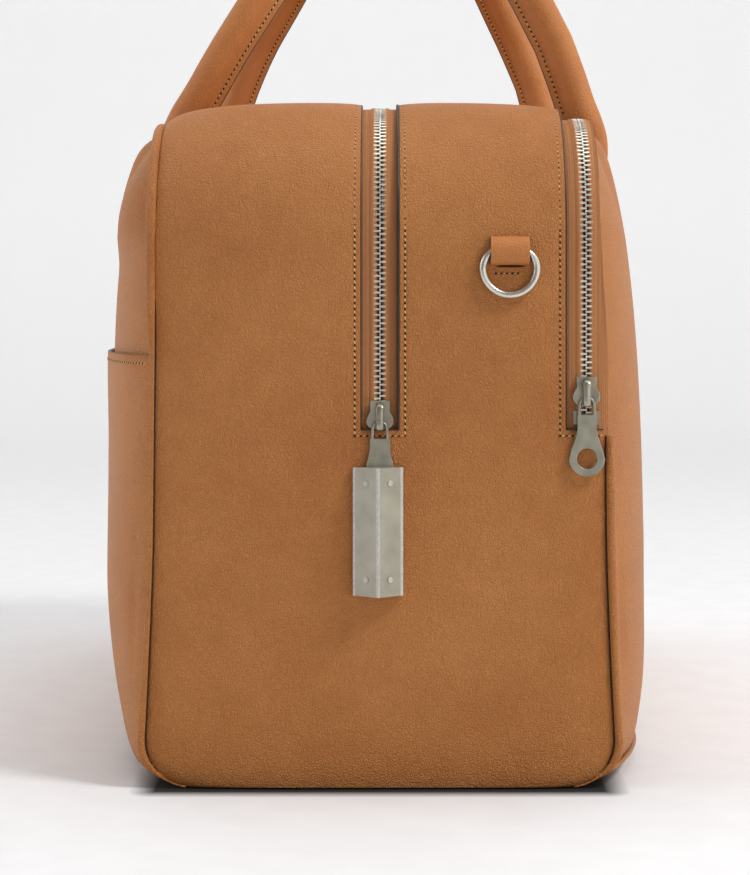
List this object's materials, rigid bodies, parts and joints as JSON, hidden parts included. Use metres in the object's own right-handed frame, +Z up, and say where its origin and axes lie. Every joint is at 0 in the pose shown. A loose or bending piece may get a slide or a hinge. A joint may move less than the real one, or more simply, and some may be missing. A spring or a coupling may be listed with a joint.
{
  "type": "weekender bag",
  "caption": "Soft leather travel bag with rounded shoulders, two arched zips, a slip pocket, two rolled handles and a ring at each end for a strap.",
  "frame": {"origin": "middle of the floor contact, under the centre foot", "axes": "+X along the length to the end with the tagged slider, +Y from the pocket face to the back face, +Z up"},
  "size_m": [0.4977, 0.2776, 0.4891],
  "materials": {
    "leather": "soft satin, fine grain",
    "nickel": "satin",
    "zip_tape": "woven",
    "cord": "twisted",
    "lining": "twill",
    "board": "matt",
    "frosted_tag": "frosted, translucent"
  },
  "bodies": {
    "bag": {"back_handle_tab_left": "leather", "back_handle_tab_right": "leather", "back_panel": "leather", "back_piping": "leather", "back_piping_cord": "cord", "base_board": "board", "base_panel": "leather", "divider_panel": "lining", "feet": "nickel", "foot_washers": "nickel", "front_handle_tab_left": "leather", "front_handle_tab_right": "leather", "front_panel": "leather", "front_piping": "leather", "front_piping_cord": "cord", "front_pocket_panel": "leather", "gusset_left": "leather", "gusset_right": "leather", "main_lining": "lining", "main_zip_stops": "nickel", "main_zip_tape_back": "zip_tape", "main_zip_tape_front": "zip_tape", "main_zip_teeth_back": "nickel", "main_zip_teeth_front": "nickel", "rear_lining": "lining", "rear_zip_stops": "nickel", "rear_zip_tape_back": "zip_tape", "rear_zip_tape_front": "zip_tape", "rear_zip_teeth_back": "nickel", "rear_zip_teeth_front": "nickel", "ring_loop_left": "leather", "ring_loop_right": "leather"},
    "front_handle": {"front_handle": "leather", "front_handle_core": "cord"},
    "back_handle": {"back_handle": "leather", "back_handle_core": "cord"},
    "main_slider_right": {"main_slider_right": "nickel"},
    "main_pull_right": {"main_pull_right": "nickel", "pull_tag": "frosted_tag"},
    "main_slider_left": {"main_slider_left": "nickel"},
    "main_pull_left": {"main_pull_left": "nickel"},
    "rear_slider": {"rear_slider": "nickel"},
    "rear_pull": {"rear_pull": "nickel"},
    "d_ring_right": {"d_ring_right": "nickel"},
    "d_ring_left": {"d_ring_left": "nickel"}
  },
  "joints": [
    {"name": "front_handle_swing", "type": "hinge", "parent": "bag", "child": "front_handle", "pos_m": [0, -0.1142, 0.304], "axis": [1, 0, 0], "range_deg": [0, 100]},
    {"name": "back_handle_swing", "type": "hinge", "parent": "bag", "child": "back_handle", "pos_m": [0, 0.1142, 0.304], "axis": [-1, 0, 0], "range_deg": [0, 100]},
    {"name": "main_slider_right_slide", "type": "slide", "parent": "bag", "child": "main_slider_right", "axis": [0, 0, 1], "range_m": [0, 0.07]},
    {"name": "main_pull_right_swing", "type": "hinge", "parent": "main_slider_right", "child": "main_pull_right", "pos_m": [0.2414, 0, 0.1732], "axis": [0, -1, 0], "range_deg": [0, 150]},
    {"name": "main_slider_left_slide", "type": "slide", "parent": "bag", "child": "main_slider_left", "axis": [0, 0, 1], "range_m": [0, 0.07]},
    {"name": "main_pull_left_swing", "type": "hinge", "parent": "main_slider_left", "child": "main_pull_left", "pos_m": [-0.2414, 0, 0.1732], "axis": [0, 1, 0], "range_deg": [0, 150]},
    {"name": "rear_slider_slide", "type": "slide", "parent": "bag", "child": "rear_slider", "axis": [0, 0, 1], "range_m": [0, 0.06]},
    {"name": "rear_pull_swing", "type": "hinge", "parent": "rear_slider", "child": "rear_pull", "pos_m": [0.2414, 0.0976, 0.1845], "axis": [0, -1, 0], "range_deg": [0, 150]},
    {"name": "d_ring_right_swing", "type": "hinge", "parent": "bag", "child": "d_ring_right", "pos_m": [0.2422, 0.0613, 0.255], "axis": [0, -1, 0], "range_deg": [0, 170]},
    {"name": "d_ring_left_swing", "type": "hinge", "parent": "bag", "child": "d_ring_left", "pos_m": [-0.2422, 0.0613, 0.255], "axis": [0, 1, 0], "range_deg": [0, 170]}
  ]
}
